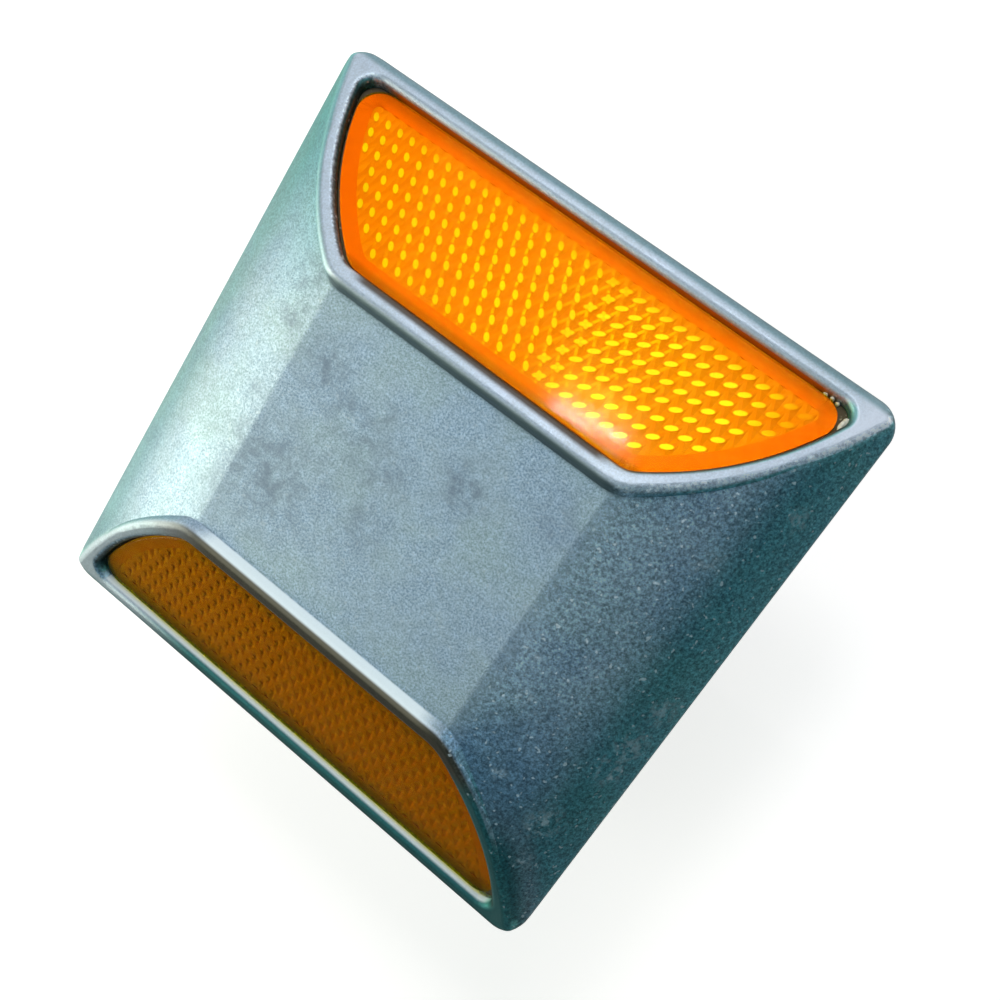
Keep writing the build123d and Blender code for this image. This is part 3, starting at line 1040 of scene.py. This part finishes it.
# %% Backing and adhesive
PLATE_DEEP = (0.93, 0.33, 0.06, 1)
PLATE_PALE = (0.97, 0.40, 0.09, 1)
GAP_SHADE_BLACK = (0.035, 0.026, 0.016, 1)
GAP_SHADE_BROWN = (0.10, 0.07, 0.035, 1)
CRUMB = (0.30, 0.25, 0.17, 1)
GLUE_AMBER_GLOW = (0.95, 0.34, 0.02, 1)

backing_plastic, tree, shader = new_material("backing_plastic")
place = object_place(tree)[0]
cloud = blotches(tree, place, 6 * MM, 3.0)
feed(tree, shader.inputs["Base Color"], mix_colours(tree, cloud, PLATE_DEEP, PLATE_PALE))
shader.inputs["Roughness"].default_value = 0.5
dress("front_lens_backing", backing_plastic)
dress("rear_lens_backing", backing_plastic)

adhesive_dark, tree, shader = new_material("adhesive_dark")
place, x, y, z = object_place(tree)
up_slope = face_distances(tree, y, z)[1]
amber_glow_side = overlap(
    tree,
    ramp_mm(tree, up_slope, 3.0, 5.0, 1.0, 0.0),
    ramp_mm(tree, y, -10, 10, 1.0, 0.0),
    ramp_mm(tree, do_math(tree, "ABSOLUTE", x), 36.0, 40.0, 1.0, 0.0),
)
crumbs = ramp(tree, blotches(tree, place, 0.7 * MM, 3.0, 0.6), 0.62, 0.70)
# painted shade: the adhesive in the deep gap is coloured nearly black
tone = mix_colours(tree, blotches(tree, place, 3 * MM, 3.0), GAP_SHADE_BLACK, GAP_SHADE_BROWN)
tone = mix_colours(tree, crumbs, tone, CRUMB)
# painted glow: amber along the front sill, as if lit by the lens
feed(tree, shader.inputs["Base Color"], mix_colours(tree, amber_glow_side, tone, GLUE_AMBER_GLOW))
shader.inputs["Roughness"].default_value = 0.7
lumpy = blotches(tree, place, 0.6 * MM, 3.0)
feed(tree, shader.inputs["Normal"], add_bump(tree, lumpy, 0.8, 0.2 * MM))
dress("front_adhesive_bed", adhesive_dark)
dress("rear_adhesive_bed", adhesive_dark)
print("backing and adhesive dressed")

# %% [markdown]
# At one tip of the front lens some adhesive has squeezed up out of the gap and set as off-white lumps.
# Each lump is a ball, stretched along the gap and pushed in and out by noise so that it looks like cured
# paste.

# %% Squeezed-out adhesive
LUMPS_MM = (
    # (along, up the slope, above the bed), (half sizes)
    ((-43.6, 5.3, 0.35), (0.50, 0.85, 0.65)),
    ((-43.7, 4.4, 0.25), (0.42, 0.50, 0.50)),
    ((-40.3, 2.84, 0.30), (0.36, 0.25, 0.60)),
    ((-39.2, 2.82, 0.25), (0.42, 0.23, 0.55)),
    ((-41.3, 2.92, 0.20), (0.30, 0.26, 0.45)),
)
BED_TOP = Vector((0, 0, -2.25)) * MM
ROUGHEN = 0.30
LUMP_DETAIL = 1.6
NOISE_STEP = Vector((7.0, 0, 0))
PASTE_DEEP = (0.50, 0.44, 0.33, 1)
PASTE_PALE = (0.85, 0.82, 0.74, 1)

lumps = bmesh.new()
for number, (centre, half_size) in enumerate(LUMPS_MM):
    ball = bmesh.ops.create_icosphere(lumps, subdivisions=3, radius=1.0)["verts"]
    for vert in ball:
        vert.co *= 1 + ROUGHEN * noise.noise(vert.co * LUMP_DETAIL + NOISE_STEP * number)
    set_down = Matrix.LocRotScale(Vector(centre) * MM + BED_TOP, None, Vector(half_size) * MM)
    bmesh.ops.transform(lumps, matrix=lens_plane @ set_down, verts=ball)
for face in lumps.faces:
    face.smooth = True
squeeze_out = new_object("adhesive_squeeze_out", lumps)
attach(squeeze_out, "root")

adhesive_pale, tree, shader = new_material("adhesive_pale")
place = object_place(tree)[0]
tone = mix_colours(tree, blotches(tree, place, 0.6 * MM, 3.0), PASTE_DEEP, PASTE_PALE)
feed(tree, shader.inputs["Base Color"], tone)
shader.inputs["Roughness"].default_value = 0.55
squeeze_out.data.materials.append(adhesive_pale)
print("lumps of adhesive:", len(LUMPS_MM))
